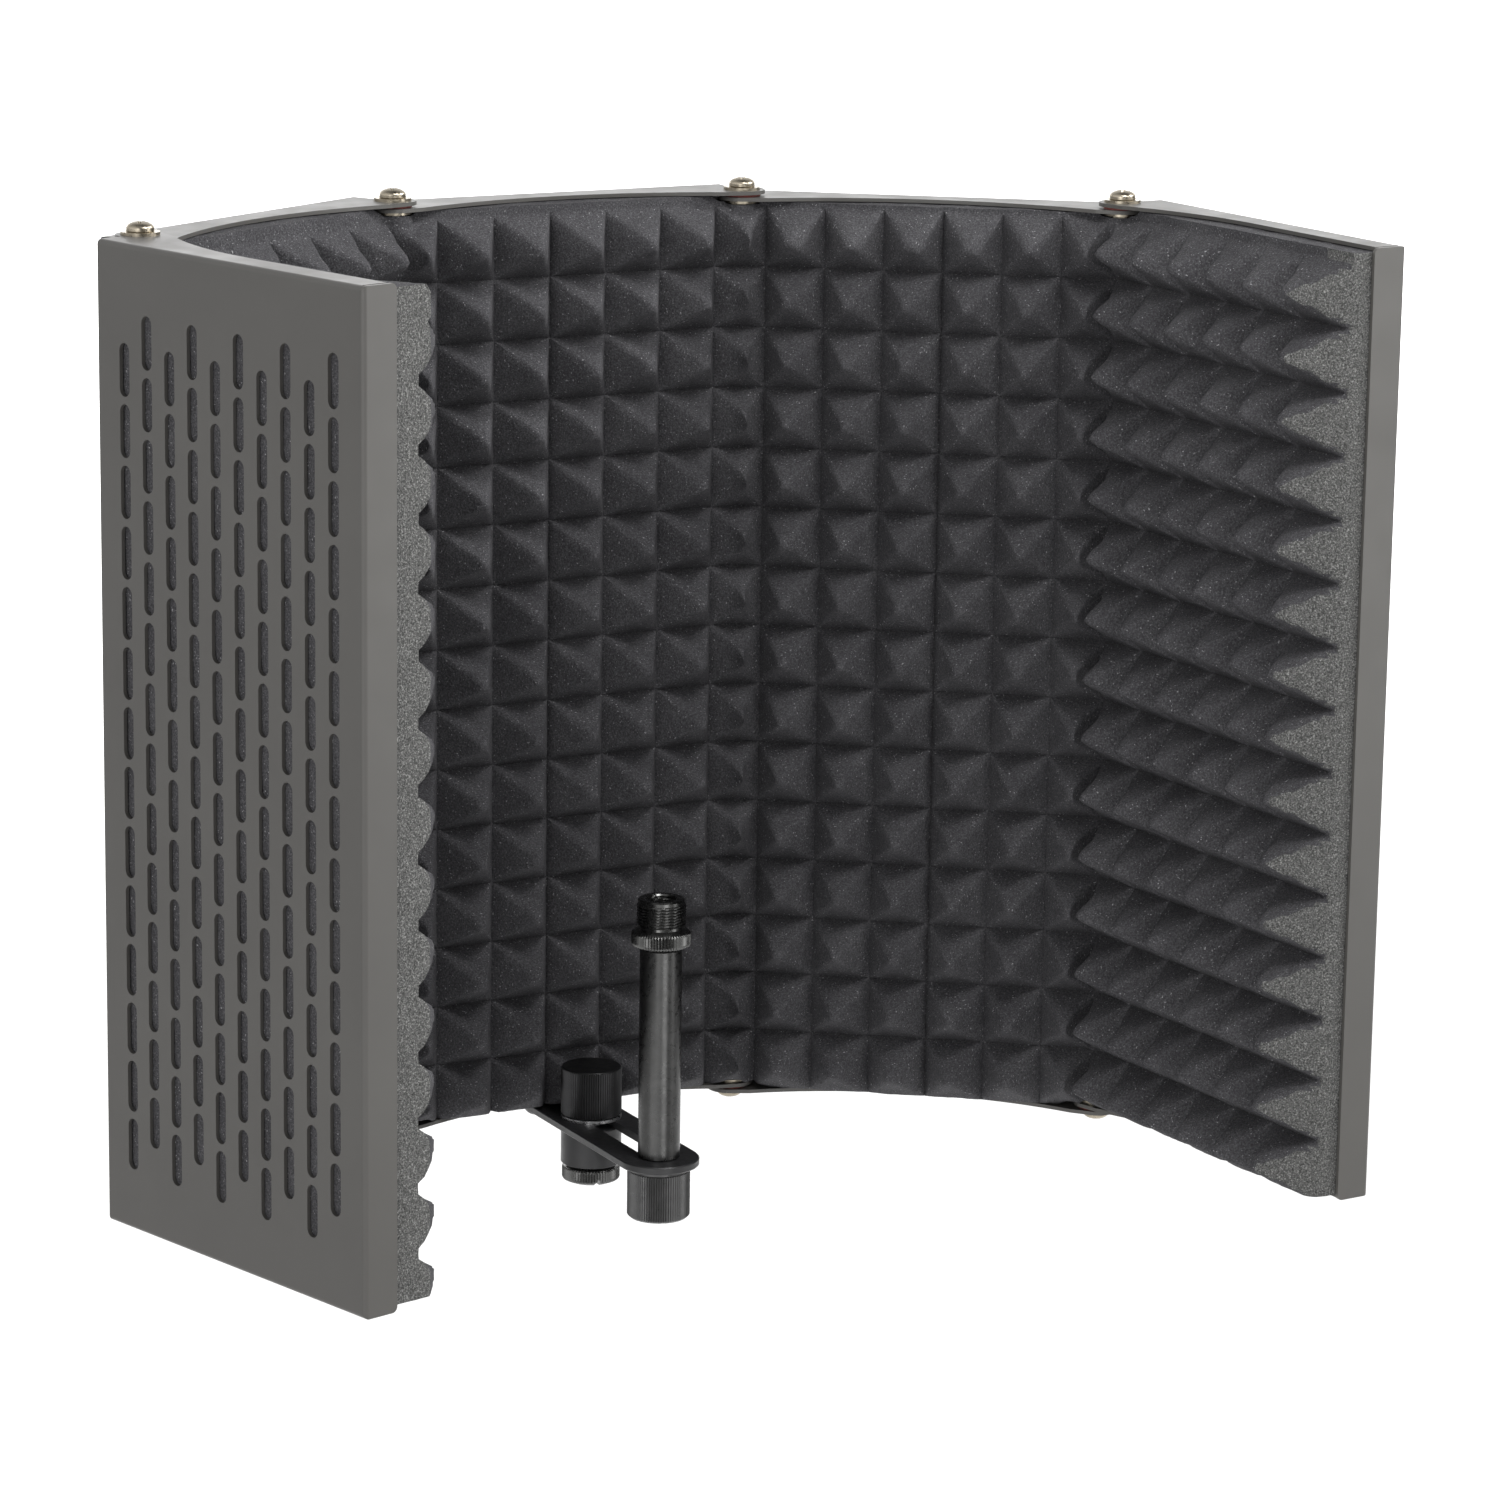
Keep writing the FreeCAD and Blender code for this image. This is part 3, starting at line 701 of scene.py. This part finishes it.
def light_world():
    """White behind the shield, with soft light from the left and from below."""
    world = bpy.data.worlds.new("studio")
    bpy.context.scene.world = world
    world.use_nodes = True
    tree = world.node_tree
    where = tree.nodes.new("ShaderNodeTexCoord").outputs["Generated"]
    axes = tree.nodes.new("ShaderNodeSeparateXYZ")
    tree.links.new(where, axes.inputs[0])
    toward = tree.nodes.new("ShaderNodeVectorMath")
    toward.operation = "DOT_PRODUCT"
    toward.inputs[1].default_value = (0.46, 0.88, 0.10)
    tree.links.new(where, toward.inputs[0])
    below = sky_share(tree, axes.outputs["Z"], -1.0, 1.05)
    left = sky_share(tree, axes.outputs["X"], -1.0, 1.25)
    behind = sky_share(tree, toward.outputs["Value"], 0.85, 1.08, 0.45, 0.05)
    total = add_up(tree, add_up(tree, below, left), behind)
    tree.nodes["Background"].inputs["Color"].default_value = (1, 1, 1, 1)
    tree.links.new(total, tree.nodes["Background"].inputs["Strength"])


def light_studio():
    light_world()
    soft_box("left", 45, 10, 2.2, 1.0, 9)
    soft_box("front", -25, 30, 2.2, 0.8, 11)
    soft_box("front_low", 2, -12, 2.2, 0.8, 5)
    soft_box("right_low", -48, 0, 2.2, 1.1, 11)
    soft_box("right_high", -70, 35, 2.2, 0.5, 43)
    soft_box("overhead", -8, 52, 0.9, 0.3, 3.8)
    area_light("floor_wash", (2.5, 6.7, 1.0), (2.5, 6.7, FLOOR_LEVEL), (8.0, 8.0), 520)
    bpy.context.scene.view_settings.view_transform = "Standard"


def lay_floor():
    size, front, level = 14.0, -0.5, FLOOR_LEVEL
    corners = [(-size, front, level), (size, front, level), (size, size, level), (-size, size, level)]
    floor = make_object("floor", corners, [(0, 1, 2, 3)], False)
    m = Nodes("pale_floor", (0.9, 0.9, 0.9), 0.9)
    m.roughness(m.remap(m.noise(3, 2), 0.3, 0.7, 0.85, 0.95))
    dress(floor, m.material)


# ---------------------------------------------------------------- assembly
def build_foam():
    first = LINING_START + EDGE_TRIM
    return [
        foam_piece("foam_lining_left", first, -3, ["left_outer_foam"]),
        foam_piece("foam_lining_left_centre", -3, 3, ["left_inner_foam"]),
        foam_piece("foam_lining_right_centre", 3, 10, ["centre_foam"]),
        foam_piece(
            "foam_lining_right", 10, LINING_END,
            ["right_inner_foam", "right_outer_foam"],
        ),
    ]


def foot_centre(node):
    """Middle of a CAD node's underside, in millimetres."""
    low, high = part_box(node)
    return [(low[i] + high[i]) / 2 / MM for i in (0, 1)] + [low.z / MM]


def main():
    foam = foam_material()
    cut_foam = cut_foam_material()
    for piece in build_foam():
        piece.data.materials.append(foam)
        piece.data.materials.append(cut_foam)
    black = black_metal("adapter_black_oxide", (0.10, 0.10, 0.098), 0.26, 1500, 0.000002, 1.0)
    for name, notch, body in (
        ("post_thread_adapter", -20, "mic_post"),
        ("stand_thread_adapter", -100, "stand"),
    ):
        dress(thread_adapter(name + "_threaded", foot_centre(name), notch, body, name), black)

    paint = panel_paint()
    plated = bare_metal("hinge_plating", (0.40, 0.355, 0.28), 0.30)
    zinc = bare_metal("zinc", (0.75, 0.75, 0.76), 0.28)
    stud = bare_metal("stud_steel", (0.42, 0.42, 0.43), 0.35)
    satin = black_metal("bracket_satin", (0.020, 0.020, 0.021), 0.38, 1600, 0.000004)
    tube = black_metal("post_satin", (0.085, 0.085, 0.084), 0.30, 1600, 0.000004, 1.0)
    knob = black_metal("knob_black", (0.035, 0.035, 0.036), 0.36, 1600, 0.000004, 0.8)
    knurled = black_metal("post_knob_satin", (0.085, 0.085, 0.085), 0.32, 1600, 0.000004, 0.9)
    fibre = fibre_material()
    for node, hinges, body in (
        ("left_hinge_screws", (1,), "left_inner"),
        ("centre_hinge_screws", (2, 3), "centre"),
        ("right_hinge_screws", (4,), "right_inner"),
    ):
        dress(hinge_screws(node, hinges, body), plated)
    for node, piece in frame["nodes"].items():
        if node.endswith("_shell"):
            dress(piece, paint)
        elif node.endswith("fibre_washers"):
            dress(piece, fibre)
        elif "_hinge_" in node:
            dress(piece, plated)
        elif node in ("bracket_nuts", "clamp_washer"):
            dress(piece, zinc)
        elif node in ("clamp_stud", "post_stud"):
            dress(piece, stud)
        elif node == "clamp_knob":
            dress(piece, knob)
        elif node == "post_knob":
            dress(piece, knurled)
        elif node == "mic_post":
            dress(piece, tube)
        else:
            dress(piece, satin)
    place_camera()
    light_studio()
    lay_floor()


main()
